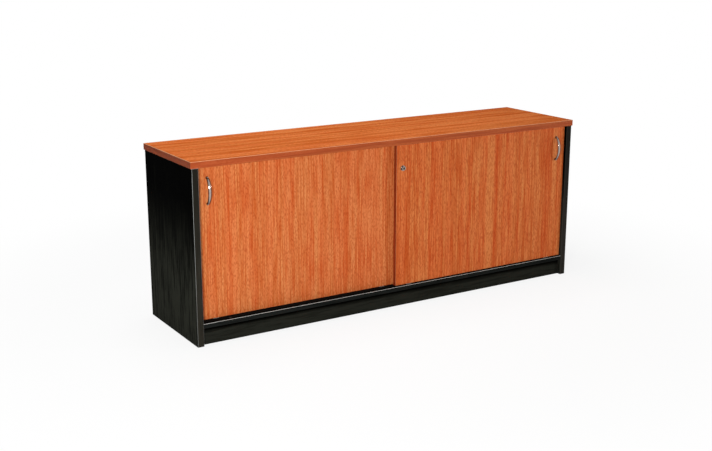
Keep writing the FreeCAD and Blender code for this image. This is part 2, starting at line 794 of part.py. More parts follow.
# ---------------------------------------------------------------- doors
class Door:
    """One sliding door.  side is -1 for the left (rear) door, 1 for the right (front)."""

    def __init__(self, side, lane):
        self.side = side
        self.lane = lane
        self.face = lane - door_thickness / 2
        self.back = lane + door_thickness / 2
        self.outer = side * door_outer
        self.inner = side * (door_outer - door_width)
        self.low_x = min(self.outer, self.inner)
        self.high_x = max(self.outer, self.inner)
        self.handle_x = side * handle_x
        self.roller_xs = [self.outer - side * roller_inset, self.inner + side * roller_inset]
        self.guide_xs = [self.outer - side * guide_inset, self.inner + side * guide_inset]

    def slab(self):
        """The door with the arrises of both faces rounded, before it is split into bands."""
        slab = block(self.low_x, self.high_x, self.face, self.back, door_bottom, door_top)
        arrises = [e for e in slab.Edges
                   if abs(e.Vertexes[0].Y - e.Vertexes[1].Y) < fit_gap]
        return slab.makeFillet(board_arris, arrises)

    def cutters(self):
        """Mortises for the rollers, bores for the guides, holes for the handle."""
        cuts = [obround(housing_length + 2 * fit_gap, housing_width + 2 * fit_gap,
                        housing_height + fit_gap, Vector(x, self.lane, 0), door_bottom)
                for x in self.roller_xs]
        cuts += [rod(Vector(x, self.lane, door_top), Z * -1, guide_cup_radius + fit_gap,
                     guide_cup_height + fit_gap) for x in self.guide_xs]
        cuts += [rod(Vector(self.handle_x, self.face, z), Y,
                     handle_screw_radius + screw_clearance, door_thickness)
                 for z in handle_screw_heights()]
        if self.side > 0:
            cuts.append(rod(Vector(lock_x, self.face, lock_height), Y,
                            lock_tube_radius + fit_gap, door_thickness))
        else:
            cuts += [strike_screw(z, fit_gap) for z in strike_screw_heights()]
        return cuts

    def core_box(self):
        """The space of the board inside its four bands."""
        return block(self.low_x + board_band, self.high_x - board_band, self.face, self.back,
                     door_bottom + board_band, door_top - board_band)

    def panel(self):
        """The board itself."""
        return drilled(self.slab().common(self.core_box()), self.cutters())

    def edge_bands(self):
        """Two upright bands over the full height and two short ones between them."""
        slab = self.slab()
        uprights = [slab.common(block(x, x + board_band, self.face, self.back,
                                      door_bottom, door_top))
                    for x in (self.low_x, self.high_x - board_band)]
        levels = [slab.common(block(self.low_x + board_band, self.high_x - board_band,
                                    self.face, self.back, z, z + board_band))
                  for z in (door_bottom, door_top - board_band)]
        return group(uprights + [drilled(band, self.cutters()) for band in levels])

    def handle(self):
        """A bow handle on two round posts."""
        bow = handle_bow(self.handle_x, self.face)
        posts = [handle_post(self.handle_x, self.face, z) for z in handle_screw_heights()]
        holes = [rod(Vector(self.handle_x, self.face, z), Y * -1,
                     handle_screw_radius + fit_gap, handle_screw_bite + fit_gap)
                 for z in handle_screw_heights()]
        return bow.fuse(posts).removeSplitter().cut(holes)

    def handle_screws(self):
        """Machine screws from the back of the door into the handle's posts."""
        screws = []
        for z in handle_screw_heights():
            head = rod(Vector(self.handle_x, self.back, z), Y, handle_screw_head_radius,
                       handle_screw_head_height)
            shank = rod(Vector(self.handle_x, self.back, z), Y * -1, handle_screw_radius,
                        door_thickness + handle_screw_bite)
            screws.append(head.fuse(shank).removeSplitter())
        return group(screws)

    def roller_housings(self):
        """Plastic housings let into the bottom edge, slotted for the wheels."""
        housings = []
        for x in self.roller_xs:
            body = obround(housing_length, housing_width, housing_height,
                           Vector(x, self.lane, 0), door_bottom)
            reach = wheel_radius + wheel_top_gap
            slot = block(x - reach, x + reach, self.lane - wheel_width / 2 - wheel_side_gap,
                         self.lane + wheel_width / 2 + wheel_side_gap, door_bottom,
                         wheel_height + reach)
            hole = rod(Vector(x, self.lane - housing_width, wheel_height), Y,
                       axle_radius + axle_fit / 2, 2 * housing_width)
            housings.append(body.cut([slot, hole]))
        return group(housings)

    def axles(self):
        """Steel pins across the roller housings."""
        return group([rod(Vector(x, self.lane - housing_width / 2, wheel_height), Y,
                          axle_radius, housing_width) for x in self.roller_xs])

    def wheel(self, number):
        """A nylon wheel with a hub, a thin web and a flat tread."""
        half = wheel_width / 2
        web = wheel_web_width / 2
        bore = axle_radius + axle_fit
        inner_rim = wheel_radius - wheel_rim_depth
        outline = [(bore, half), (wheel_hub_radius, half), (wheel_hub_radius, web),
                   (inner_rim, web), (inner_rim, half), (wheel_radius - wheel_chamfer, half),
                   (wheel_radius, half - wheel_chamfer)]
        points = [Vector(r, y, 0) for r, y in outline]
        points += [Vector(p.x, -p.y, 0) for p in reversed(points)]
        points.append(points[0])
        wheel = Part.Face(Part.makePolygon(points)).revolve(Vector(0, 0, 0), Y, 360)
        wheel.translate(Vector(self.roller_xs[number], self.lane, wheel_height))
        return wheel

    def guide_housings(self):
        """Cups let into the top edge, with a cap that the guide's stem passes."""
        cups = []
        for x in self.guide_xs:
            mouth = Vector(x, self.lane, door_top)
            cup = rod(mouth, Z * -1, guide_cup_radius, guide_cup_height)
            cavity = rod(mouth - Z * guide_cup_floor, Z * -1,
                         guide_cup_radius - guide_cup_wall,
                         guide_cup_height - 2 * guide_cup_floor)
            hole = rod(mouth, Z * -1, guide_radius + guide_fit, guide_cup_floor)
            cups.append(cup.cut([cavity, hole]))
        return group(cups)

    def guide(self, number):
        """A sprung plunger: round nose, stem, collar and a spigot inside the spring."""
        axis = Vector(self.guide_xs[number], self.lane, 0)
        nose_top = top_under + guide_reach
        stem = rod(axis + Z * collar_top, Z, guide_radius, nose_top - collar_top)
        stem = rounded(stem, guide_nose, lambda p: p.z > nose_top - fit_gap)
        collar = rod(axis + Z * collar_under, Z, collar_radius, collar_thickness)
        spigot = rod(axis + Z * collar_under, Z * -1, spigot_radius, spigot_length)
        return stem.fuse([collar, spigot]).removeSplitter()

    def guide_spring(self, number):
        """The coil under a guide's collar."""
        start = Vector(self.guide_xs[number], self.lane, spring_seat + coil_end_gap)
        return coil(start, Z, guide_coil_radius, guide_wire_radius,
                    collar_under - spring_seat - 2 * coil_end_gap, guide_coil_turns)


def handle_screw_heights():
    """Where the two screws of a handle sit."""
    return [handle_height - handle_centres / 2, handle_height + handle_centres / 2]


def handle_bow(x, face):
    """The bow: oval sections along an arc, narrow at the ends and full in the middle."""
    half = handle_centres / 2
    rise = handle_projection - bow_depth_middle / 2 - post_height
    radius = (half ** 2 + rise ** 2) / (2 * rise)
    spread = math.asin(half / radius)
    arc_y = face - post_height - rise + radius
    sections = []
    for n in range(bow_sections + 1):
        share = 2 * n / bow_sections - 1
        angle = share * spread
        fullness = math.cos(share * math.pi / 2)
        half_width = (bow_width_end + (bow_width_middle - bow_width_end) * fullness) / 2
        half_depth = (bow_depth_end + (bow_depth_middle - bow_depth_end) * fullness) / 2
        centre = Vector(x, arc_y - radius * math.cos(angle),
                        handle_height + radius * math.sin(angle))
        along = Vector(0, math.sin(angle), math.cos(angle))
        oval = Part.Wire(Part.Ellipse(Vector(0, 0, 0), half_width, half_depth).toShape())
        oval.Placement = FreeCAD.Placement(centre, FreeCAD.Rotation(X, along.cross(X), along))
        sections.append(oval)
    return Part.makeLoft(sections, True, False)


def handle_post(x, face, z):
    """A round post that narrows from the door to the bow."""
    return cone(Vector(x, face, z), Y * -1, post_radius, post_neck_radius, post_height)


# ---------------------------------------------------------------- lock
def lock_axis(y):
    """The point on the lock's axis at one depth."""
    return Vector(lock_x, y, lock_height)


lock_face = front_lane - door_thickness / 2
lock_back = front_lane + door_thickness / 2
cylinder_front = lock_face - lock_flange_thickness - lock_travel
cylinder_rear = lock_back - lock_rear_wall - lock_coil_space
lock_bore_radius = lock_tube_radius - lock_tube_wall


def make_lock_sleeve():
    """The fixed barrel: a flange on the door's face and a tube through the door."""
    flange = rod(lock_axis(lock_face), Y * -1, lock_flange_radius, lock_flange_thickness)
    flange = rounded(flange, lock_face_chamfer, lambda p: p.y < lock_face - fit_gap)
    tube = rod(lock_axis(lock_face), Y, lock_tube_radius, door_thickness)
    bore = rod(lock_axis(lock_face - lock_flange_thickness), Y, lock_bore_radius,
               lock_flange_thickness + door_thickness - lock_rear_wall)
    hole = rod(lock_axis(lock_face), Y, lock_bolt_radius + lock_fit, door_thickness)
    return flange.fuse(tube).removeSplitter().cut([bore, hole])


def make_lock_cylinder():
    """The sliding cylinder with its bolt; pushed in, the bolt fills the door gap."""
    body = rod(lock_axis(cylinder_front), Y, lock_bore_radius - lock_fit,
               cylinder_rear - cylinder_front)
    body = rounded(body, lock_face_chamfer, lambda p: p.y < cylinder_front + fit_gap)
    bolt = rod(lock_axis(cylinder_rear), Y, lock_bolt_radius, lock_back - cylinder_rear)
    seat = rod(lock_axis(cylinder_front), Y, lock_plug_radius + lock_fit,
               lock_plug_depth + lock_plug_end_gap)
    return body.fuse(bolt).removeSplitter().cut(seat)


def make_lock_plug():
    """The key plug, with an upright keyway."""
    plug = rod(lock_axis(cylinder_front), Y, lock_plug_radius, lock_plug_depth)
    keyway = block(lock_x - keyway_width / 2, lock_x + keyway_width / 2, cylinder_front,
                   cylinder_front + keyway_depth, lock_height - keyway_height / 2,
                   lock_height + keyway_height / 2)
    return plug.cut(keyway)


def make_lock_spring():
    """The coil round the bolt that pushes the cylinder out."""
    mean_radius = lock_bolt_radius + running_gap + lock_wire_radius
    return coil(lock_axis(cylinder_rear + coil_end_gap), Y, mean_radius, lock_wire_radius,
                lock_coil_space - 2 * coil_end_gap, lock_coil_turns)


strike_thickness = door_gap - strike_gap
strike_face = rear_lane - door_thickness / 2
strike_right = door_overlap / 2 - strike_edge_inset
strike_middle = strike_right - strike_width / 2


def strike_screw_heights():
    """Where the strike's two screws sit."""
    return [lock_height + s * strike_screw_spacing / 2 for s in (-1, 1)]


def strike_screw(z, extra):
    """A countersunk wood screw through the strike, or its hole."""
    seat = Vector(strike_middle, strike_face - strike_thickness, z)
    shank = rod(seat, Y, wood_screw_radius + extra, strike_screw_length + extra)
    head = cone(seat, Y, wood_screw_head_radius + extra, wood_screw_radius + extra,
                wood_screw_head_height)
    return shank.fuse(head).removeSplitter()


def make_lock_strike():
    """The block on the rear door that the bolt stands behind when it is locked."""
    body = block(strike_right - strike_width, strike_right, strike_face - strike_thickness,
                 strike_face, lock_height - strike_height / 2, lock_height + strike_height / 2)
    body = rounded(body, strike_arris, lambda p: p.y < strike_face - fit_gap)
    return drilled(body, [strike_screw(z, fit_gap) for z in strike_screw_heights()])


def make_strike_screws():
    """The strike's two countersunk screws."""
    return group([strike_screw(z, 0.0) for z in strike_screw_heights()])


# ---------------------------------------------------------------- all sub-parts
def carcass_parts():
    """Everything that stands still."""
    joints = all_cam_joints()
    return {
        "worktop": make_worktop(),
        "worktop_front_band": make_worktop_front_band(),
        "worktop_edge_bands": make_worktop_edge_bands(),
        "left_side_panel": make_side_panel(-1),
        "right_side_panel": make_side_panel(1),
        "left_side_front_band": make_side_front_band(-1),
        "right_side_front_band": make_side_front_band(1),
        "bottom_panel": make_bottom_panel(),
        "bottom_front_band": make_bottom_front_band(),
        "kickboard": make_kickboard(),
        "rear_plinth_rail": make_rear_plinth_rail(),
        "plinth_centre_rail": make_plinth_centre_rail(),
        "back_panel": make_back_panel(),
        "back_panel_screws": make_back_panel_screws(),
        "centre_divider": make_centre_divider(),
        "divider_front_band": make_divider_front_band(),
        "left_shelf": make_shelf(-1),
        "right_shelf": make_shelf(1),
        "shelf_front_bands": make_shelf_front_bands(),
        "shelf_pins": make_shelf_pins(),
        "upper_track": make_upper_track(),
        "lower_track": make_lower_track(),
        "track_stops": make_track_stops(),
        "door_buffers": make_door_buffers(),
        "cam_bolts": group([joint.bolt() for joint in joints]),
        "cam_locks": group([joint.cam() for joint in joints]),
        "dowels": make_dowels(),
        "floor_glides": make_floor_glides(),
    }


def door_parts(name, door):
    """The sub-parts of one door, named after it."""
    return {
        name + "_panel": door.panel(),
        name + "_edge_bands": door.edge_bands(),
        name + "_handle": door.handle(),
        name + "_handle_screws": door.handle_screws(),
        name + "_roller_housings": door.roller_housings(),
        name + "_axles": door.axles(),
        name + "_outer_wheel": door.wheel(0),
        name + "_inner_wheel": door.wheel(1),
        name + "_guide_housings": door.guide_housings(),
        name + "_outer_guide": door.guide(0),
        name + "_inner_guide": door.guide(1),
        name + "_outer_guide_spring": door.guide_spring(0),
        name + "_inner_guide_spring": door.guide_spring(1),
    }


def lock_parts():
    """The lock on the front door and its strike on the rear door."""
    return {
        "lock_sleeve": make_lock_sleeve(),
        "lock_cylinder": make_lock_cylinder(),
        "lock_plug": make_lock_plug(),
        "lock_spring": make_lock_spring(),
        "lock_strike": make_lock_strike(),
        "strike_screws": make_strike_screws(),
    }


def main():
    """Build every sub-part and write one STEP file for each."""
    os.makedirs("parts", exist_ok=True)
    parts = carcass_parts()
    parts.update(door_parts("left_door", Door(-1, rear_lane)))
    parts.update(door_parts("right_door", Door(1, front_lane)))
    parts.update(lock_parts())
    for name, shape in parts.items():
        shape.exportStep("parts/" + name + ".step")
        print(name, len(shape.Solids), round(shape.Volume), shape.isValid())


main()
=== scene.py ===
"""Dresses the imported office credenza: board prints, edge bands, bow handles, screws, studio and camera."""
import logging
import math
from dataclasses import dataclass, field
from enum import Enum

import bmesh
import bpy
from mathutils import Matrix, Vector


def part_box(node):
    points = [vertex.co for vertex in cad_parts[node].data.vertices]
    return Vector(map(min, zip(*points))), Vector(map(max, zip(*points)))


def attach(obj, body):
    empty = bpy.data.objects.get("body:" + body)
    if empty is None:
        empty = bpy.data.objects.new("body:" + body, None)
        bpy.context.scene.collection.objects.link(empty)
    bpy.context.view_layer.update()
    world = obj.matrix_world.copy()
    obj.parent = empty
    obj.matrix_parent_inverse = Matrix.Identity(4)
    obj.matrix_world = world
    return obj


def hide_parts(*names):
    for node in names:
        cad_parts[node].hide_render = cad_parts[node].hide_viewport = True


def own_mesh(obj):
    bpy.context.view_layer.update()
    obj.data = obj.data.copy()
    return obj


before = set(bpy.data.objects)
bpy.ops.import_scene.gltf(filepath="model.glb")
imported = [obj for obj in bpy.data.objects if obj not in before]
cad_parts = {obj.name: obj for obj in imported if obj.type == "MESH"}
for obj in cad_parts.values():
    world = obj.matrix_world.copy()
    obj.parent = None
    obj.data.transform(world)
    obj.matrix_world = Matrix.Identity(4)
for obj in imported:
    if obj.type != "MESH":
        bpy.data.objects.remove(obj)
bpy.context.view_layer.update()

log = logging.getLogger("credenza")
Colour = tuple[float, float, float, float]
Range = tuple[float, float]
Shape = bmesh.types.BMesh
Socket = bpy.types.NodeSocket

MM = 0.001
FULL_TURN = 2 * math.pi
TO_FRONT = Matrix.Rotation(FULL_TURN / 4, 4, "X")
TO_REAR = Matrix.Rotation(-FULL_TURN / 4, 4, "X")
SHARP_ANGLE = math.radians(35)
WELD = 0.001 * MM

# Ranges of a noise or of a normal that the finishes share
MIDDLE_NOISE: Range = (0.3, 0.7)
CLOUD_NOISE: Range = (0.35, 0.75)
ARRIS_TILT: Range = (0.02, 0.12)
LOOKS_UP = 0.1


def shade(red: int, green: int, blue: int) -> Colour:
    """A colour as a paint chart gives it, made linear for a shader.

    Args:
        red: From 0 to 255.
        green: From 0 to 255.
        blue: From 0 to 255.

    Returns:
        The linear colour.
    """
    def linear(value: int) -> float:
        """One channel without its display curve."""
        share = value / 255
        return share / 12.92 if share <= 0.04045 else ((share + 0.055) / 1.055) ** 2.4
    return linear(red), linear(green), linear(blue), 1.0


class Grain(Enum):
    """Which way the grain of a board or band runs: the pattern is long on these axes."""
    ALONG_X = (1, 0, 0)
    ALONG_Y = (0, 1, 0)
    ALONG_Z = (0, 0, 1)
    LEVEL = (1, 1, 0)


@dataclass(frozen=True)
class Layer:
    """One layer of a pattern: its cells per metre each way, and how it is broken up."""

    across: float
    along: float
    detail: float = 2.0
    rough: float = 0.5
    bend: float = 0.0


@dataclass(frozen=True)
class Relief:
    """How deep a pattern is embossed, in metres, and how strongly that shows."""

    depth: float
    strength: float


def even(cells: float, detail: float, rough: float = 0.5) -> Layer:
    """A layer with as many cells along the grain as across it."""
    return Layer(cells, cells, detail, rough)


# ---------------------------------------------------------------- finishes
class Sketch:
    """A new material's node tree, with short calls for the nodes that the finishes share."""

    def __init__(self, name: str) -> None:
        """Starts an empty tree with its output.

        Args:
            name: The material's name.
        """
        self.made = bpy.data.materials.new(name)
        self.made.use_nodes = True
        self.tree = self.made.node_tree
        self.tree.nodes.clear()
        self.output = self.tree.nodes.new("ShaderNodeOutputMaterial")
        self.places = self.tree.nodes.new("ShaderNodeTexCoord")

    def link(self, source: Socket, target: Socket) -> None:
        """Joins two sockets."""
        self.tree.links.new(source, target)

    def feed(self, node: bpy.types.Node, key: str | int, value: object) -> None:
        """Sets an input of a node from a socket or a constant.

        Args:
            node: The node.
            key: The input's name or number.
            value: A socket to link, or a value to store.
        """
        if isinstance(value, bpy.types.NodeSocket):
            self.link(value, node.inputs[key])
        else:
            node.inputs[key].default_value = value

    def noise(self, layer: Layer, grain: Grain = Grain.LEVEL, slide: float = 0.0) -> Socket:
        """Cloudy noise over object coordinates, drawn out along the grain.

        Args:
            layer: How dense it is and how it is broken up.
            grain: Which axes the grain runs along.
            slide: Moves the pattern so that two boards differ, in cells.

        Returns:
            The value socket, from 0 to 1.
        """
        places = self.tree.nodes.new("ShaderNodeMapping")
        places.inputs["Scale"].default_value = [layer.along if long else layer.across
                                                for long in grain.value]
        places.inputs["Location"].default_value = (slide, slide, slide)
        self.link(self.places.outputs["Object"], places.inputs["Vector"])
        node = self.tree.nodes.new("ShaderNodeTexNoise")
        self.link(places.outputs["Vector"], node.inputs["Vector"])
        for key, value in (("Scale", 1.0), ("Detail", layer.detail), ("Roughness", layer.rough),
                           ("Distortion", layer.bend)):
            node.inputs[key].default_value = value
        return node.outputs[0]

    def math(self, operation: str, first: object, second: object = 0.0) -> Socket:
        """One sum, product or comparison of two values.

        Args:
            operation: The Math node's operation.
            first: A socket or number.
            second: A socket or number.

        Returns:
            The result socket.
        """
        node = self.tree.nodes.new("ShaderNodeMath")
        node.operation = operation
        self.feed(node, 0, first)
        self.feed(node, 1, second)
        return node.outputs[0]

    def weighed(self, *parts: tuple[Socket, float]) -> Socket:
        """The sum of several values.

        Args:
            parts: Each value and its weight.

        Returns:
            The sum.
        """
        total, *others = (self.math("MULTIPLY", value, weight) for value, weight in parts)
        for other in others:
            total = self.math("ADD", total, other)
        return total

    def spread(self, value: Socket, low: float, high: float, to_low: float = 0.0,
               to_high: float = 1.0) -> Socket:
        """Maps a range of a value onto another range, smoothly and clamped.

        Args:
            value: What is mapped.
            low: Where the range starts.
            high: Where it ends.
            to_low: What the start becomes.
            to_high: What the end becomes.

        Returns:
            The mapped socket.
        """
        node = self.tree.nodes.new("ShaderNodeMapRange")
        node.interpolation_type = "SMOOTHSTEP"
        self.link(value, node.inputs["Value"])
        for key, number in (("From Min", low), ("From Max", high), ("To Min", to_low), ("To Max", to_high)):
            node.inputs[key].default_value = number
        return node.outputs[0]

    def blend(self, share: object, first: object, second: object, way: str = "MIX") -> Socket:
        """Mixes two colours.

        Args:
            share: How much of the second, a socket or number.
            first: A colour or socket.
            second: A colour or socket.
            way: The Mix node's blend type.

        Returns:
            The mixed colour.
        """
        node = self.tree.nodes.new("ShaderNodeMix")
        node.data_type = "RGBA"
        node.blend_type = way
        for key, value in ((0, share), (6, first), (7, second)):
            self.feed(node, key, value)
        return node.outputs[2]

    def part_of(self, vector: str, axis: str) -> Socket:
        """One axis of the object's coordinates.

        Args:
            vector: Normal or Object.
            axis: X, Y or Z.

        Returns:
            The value socket.
        """
        parts = self.tree.nodes.new("ShaderNodeSeparateXYZ")
        self.link(self.places.outputs[vector], parts.inputs[0])
        return parts.outputs[axis]

    def facing(self, axis: str) -> Socket:
        """How squarely the surface faces along an axis, either way: 1 is square."""
        return self.math("ABSOLUTE", self.part_of("Normal", axis))

    def arris(self, upper_only: bool) -> Socket:
        """How far the surface faces away from all three axes, which marks the rounded arrises.

        Args:
            upper_only: Marks only what also looks upwards.

        Returns:
            The mark, from 0 on flat faces to 1 on the arris.
        """
        most = self.math("MAXIMUM", self.facing("X"), self.facing("Y"))
        most = self.math("MAXIMUM", most, self.facing("Z"))
        mark = self.spread(self.math("SUBTRACT", 1.0, most), *ARRIS_TILT)
        if upper_only:
            upward = self.math("GREATER_THAN", self.part_of("Normal", "Z"), LOOKS_UP)
            mark = self.math("MULTIPLY", mark, upward)
        return mark

    def wear_and_highlight(self, colour: Socket, core: Colour, share: object, upper_only: bool) -> Socket:
        """A band's colour with a share of its core colour on its arrises: partly the band's paler core,
        mostly a painted highlight.
        """
        pale_and_lit = self.math("MULTIPLY", self.arris(upper_only), share)
        return self.blend(pale_and_lit, colour, core)

    def embossed(self, height: Socket, relief: Relief) -> Socket:
        """A bump from a height.

        Args:
            height: The pattern, from 0 to 1.
            relief: How deep and strong it is.

        Returns:
            The normal socket.
        """
        node = self.tree.nodes.new("ShaderNodeBump")
        node.inputs["Strength"].default_value = relief.strength
        node.inputs["Distance"].default_value = relief.depth
        self.link(height, node.inputs["Height"])
        return node.outputs["Normal"]

    def surface(self, **inputs: object) -> bpy.types.Material:
        """Ends the tree in one shader.

        Args:
            inputs: The shader's inputs by name, with _ for a space; sockets or constants.

        Returns:
            The material.
        """
        node = self.tree.nodes.new("ShaderNodeBsdfPrincipled")
        for key, value in inputs.items():
            self.feed(node, key.replace("_", " "), value)
        self.link(node.outputs[0], self.output.inputs["Surface"])
        return self.made


class Finish:
    """Anything that can be put on a piece: its material is made once and then shared."""

    name: str

    def make(self) -> bpy.types.Material:
        """Builds the material; each finish has its own."""
        raise NotImplementedError

    def material(self) -> bpy.types.Material:
        """The finish's material, made at its first use."""
        return bpy.data.materials.get(self.name) or self.make()


@dataclass(frozen=True)
class BeechPrint(Finish):
    """Beech woodgrain, printed: ribbons, streaks, hairs, fibres, short flecks and warmer or cooler zones;
    bands get a painted highlight on their arrises.
    """

    name: str
    grain: Grain
    pale: Colour = shade(220, 128, 76)
    deep: Colour = shade(192, 88, 38)
    fleck: Colour = shade(160, 68, 30)
    # core: the pale colour on a band's arrises, partly its paler core and mostly a painted highlight
    core: Colour = shade(250, 196, 150)
    redder: Colour = (1.01, 0.945, 0.94, 1.0)
    yellower: Colour = (0.99, 1.06, 1.075, 1.0)
    ribbons: Layer = Layer(34.0, 0.6, 1.5, bend=0.35)
    streaks: Layer = Layer(125.0, 2.8, rough=0.55, bend=0.4)
    hairs: Layer = Layer(185.0, 6.5, 1.0, 0.4)
    fibres: Layer = Layer(560.0, 12.0)
    dashes: Layer = Layer(360.0, 85.0, 0.0)
    zones: Layer = Layer(46.0, 1.0, 1.0)
    slide: float = 0.0
    zone_slide: float = 40.0
    broad_share: float = 0.44
    ribbon_share: float = 0.22
    fibre_share: float = 0.14
    hair_share: float = 0.42
    tone_reach: float = 0.11
    contrast: float = 1.0
    fleck_noise: Range = (0.50, 0.66)
    fleck_share: float = 0.50
    zone_noise: Range = (0.40, 0.60)
    # Whether a band's arrises get the painted highlight, where it goes, and how strong it is
    painted_arris_highlight: bool = False
    upper_arris_only: bool = False
    arris_highlight_share: float = 0.8
    pore_share: float = 0.6
    relief: Relief = Relief(0.05 * MM, 0.5)
    roughness: float = 0.46
    swing: Range = (-0.04, 0.05)
    gloss: float = 0.10

    def make(self) -> bpy.types.Material:
        """Builds the print over object coordinates, long on the grain's axes.

        Returns:
            The material.
        """
        pen = Sketch(self.name)
        ribbon, streak, fibre, dash, hair = (
            pen.noise(layer, self.grain, self.slide)
            for layer in (self.ribbons, self.streaks, self.fibres, self.dashes, self.hairs))
        zone = pen.noise(self.zones, self.grain, self.slide + self.zone_slide)
        tone = pen.weighed((ribbon, self.ribbon_share), (streak, self.broad_share - self.ribbon_share),
                           (fibre, self.fibre_share), (hair, self.hair_share))
        reach = self.tone_reach / self.contrast
        colour = pen.blend(pen.spread(tone, 0.5 - reach, 0.5 + reach), self.deep, self.pale)
        fleck = pen.math("MULTIPLY", pen.spread(dash, *self.fleck_noise), self.fleck_share)
        colour = pen.blend(fleck, colour, self.fleck)
        dye = pen.blend(pen.spread(zone, *self.zone_noise), self.redder, self.yellower)
        colour = pen.blend(1.0, colour, dye, "MULTIPLY")
        # Painted highlight: the arrises take a share of the core colour, partly the band's paler core,
        # mostly light caught on the rounded edge.
        if self.painted_arris_highlight:
            colour = pen.wear_and_highlight(colour, self.core, self.arris_highlight_share, self.upper_arris_only)
        pores = pen.weighed((fibre, self.pore_share), (dash, 1.0 - self.pore_share))
        sheen = pen.spread(streak, *MIDDLE_NOISE, *(self.roughness + step for step in self.swing))
        return pen.surface(Base_Color=colour, Roughness=sheen, Specular_IOR_Level=self.gloss,
                           Normal=pen.embossed(pores, self.relief))


@dataclass(frozen=True)
class Charcoal(Finish):
    """Charcoal laminate or band with a faint embossed grain, painted a little paler towards the floor as
    light from the floor.
    """

    name: str
    grain: Grain
    dark: Colour = shade(3, 3, 2)
    # dark is the board's own colour; pale_and_lit shows in its grain and, near the floor, as painted floor
    # light
    pale_and_lit: Colour = shade(38, 39, 34)
    # core: the pale colour of the painted highlight on a band's arrises
    core: Colour = shade(172, 176, 174)
    figures: Layer = Layer(130.0, 7.0, rough=0.55)
    threads: Layer = Layer(620.0, 30.0, 1.0)
    figure_share: float = 0.7
    grain_noise: Range = (0.38, 0.60)
    vein_noise: Range = (0.54, 0.84)
    vein_share: float = 0.45
    liveliness: float = 0.74
    # Painted floor light: how much paler the board is painted near the floor, the height where that starts
    # to fade, and where it is gone
    painted_floor_light: float = 1.0
    pale_up_to: float = 0.0
    dark_above: float = 0.64
    # Painted highlight on a band's arrises, with its share low and high up and the heights between
    painted_arris_highlight: bool = False
    upper_arris_only: bool = False
    highlight_heights: Range = (0.1, 0.5)
    highlight_low: float = 0.85
    highlight_high: float = 0.85
    relief: Relief = Relief(0.10 * MM, 0.6)
    roughness: float = 0.62
    swing: Range = (-0.06, 0.06)
    gloss: float = 0.0015

    def make(self) -> bpy.types.Material:
        """Builds the laminate.

        Returns:
            The material.
        """
        pen = Sketch(self.name)
        figure, thread = (pen.noise(layer, self.grain) for layer in (self.figures, self.threads))
        mark = pen.weighed((figure, self.figure_share), (thread, 1.0 - self.figure_share))
        height = pen.part_of("Object", "Z")
        # Painted light: paler towards the floor, standing in for light and reflection from the floor; kept
        # to a low strip, it leaves a painted shadow above.
        low = pen.spread(height, self.pale_up_to, self.dark_above, self.painted_floor_light, 0.0)
        grain = pen.spread(mark, *self.grain_noise, 1.0 - self.liveliness, 1.0 + self.liveliness)
        veins = pen.spread(mark, *self.vein_noise, 0.0, self.vein_share)
        share = pen.math("ADD", veins, pen.math("MULTIPLY", low, grain))
        colour = pen.blend(share, self.dark, self.pale_and_lit)
        # Painted highlight on the arrises, its share changing with height.
        if self.painted_arris_highlight:
            wear_and_highlight = pen.spread(height, *self.highlight_heights, self.highlight_low, self.highlight_high)
            colour = pen.wear_and_highlight(colour, self.core, wear_and_highlight, self.upper_arris_only)
        sheen = pen.spread(figure, *MIDDLE_NOISE, *(self.roughness + step for step in self.swing))
        return pen.surface(Base_Color=colour, Roughness=sheen, Specular_IOR_Level=self.gloss,
                           Normal=pen.embossed(mark, self.relief))


@dataclass(frozen=True)
class Metal(Finish):
    """Plated, cast or turned metal with faint marks from polishing; its flanks and rim may get painted
    shade, standing in for dark reflections.
    """

    name: str
    tint: Colour
    dull: Colour
    roughness: float
    clouds: Layer = even(160.0, 3.0, 0.6)
    swirls: Layer = even(960.0, 1.0)
    relief: Relief = Relief(0.01 * MM, 0.3)
    swing_shares: Range = (0.8, 1.3)
    # Painted shade on the flanks as shares of the tint, where the flanks start, and a rim tint that paints
    # dark reflections at grazing angles
    left_flank_shade: float = 1.0
    right_flank_shade: float = 1.0
    flank_turn: float = 0.3
    flank_ends: Range = (0.70, 0.98)
    painted_rim_tint: Colour = (1.0, 1.0, 1.0, 1.0)

    def make(self) -> bpy.types.Material:
        """Builds the metal.

        Returns:
            The material.
        """
        pen = Sketch(self.name)
        cloud = pen.noise(self.clouds)
        colour = pen.blend(pen.spread(cloud, *CLOUD_NOISE), self.tint, self.dull)
        # Painted shade on the flanks, standing in for dark reflections; the front keeps the clouded tint.
        left, right = (tuple(share * part for part in self.tint[:3]) + (1.0,)
                       for share in (self.left_flank_shade, self.right_flank_shade))
        turn = pen.spread(pen.part_of("Normal", "X"), -self.flank_turn, self.flank_turn)
        front = pen.spread(pen.facing("Y"), *self.flank_ends)
        colour = pen.blend(front, pen.blend(turn, left, right), colour)
        sheen = pen.spread(pen.noise(self.swirls), *MIDDLE_NOISE,
                           *(self.roughness * share for share in self.swing_shares))
        return pen.surface(Base_Color=colour, Metallic=1.0, Roughness=sheen, Specular_Tint=self.painted_rim_tint,
                           Normal=pen.embossed(cloud, self.relief))


@dataclass(frozen=True)
class Moulding(Finish):
    """Moulded plastic or rubber with a fine spark-eroded skin."""

    name: str
    tint: Colour
    wear_and_highlight: Colour
    roughness: float
    gloss: float = 0.3
    clouds: Layer = even(60.0, 3.0, 0.6)
    grit: Layer = even(1400.0, 1.0)
    relief: Relief = Relief(0.03 * MM, 0.5)
    swing: Range = (-0.05, 0.07)

    def make(self) -> bpy.types.Material:
        """Builds the moulding.

        Returns:
            The material.
        """
        pen = Sketch(self.name)
        cloud, grit = pen.noise(self.clouds), pen.noise(self.grit)
        colour = pen.blend(pen.spread(cloud, *CLOUD_NOISE), self.tint, self.wear_and_highlight)
        sheen = pen.spread(grit, *MIDDLE_NOISE, *(self.roughness + step for step in self.swing))
        return pen.surface(Base_Color=colour, Roughness=sheen, Specular_IOR_Level=self.gloss,
                           Normal=pen.embossed(grit, self.relief))


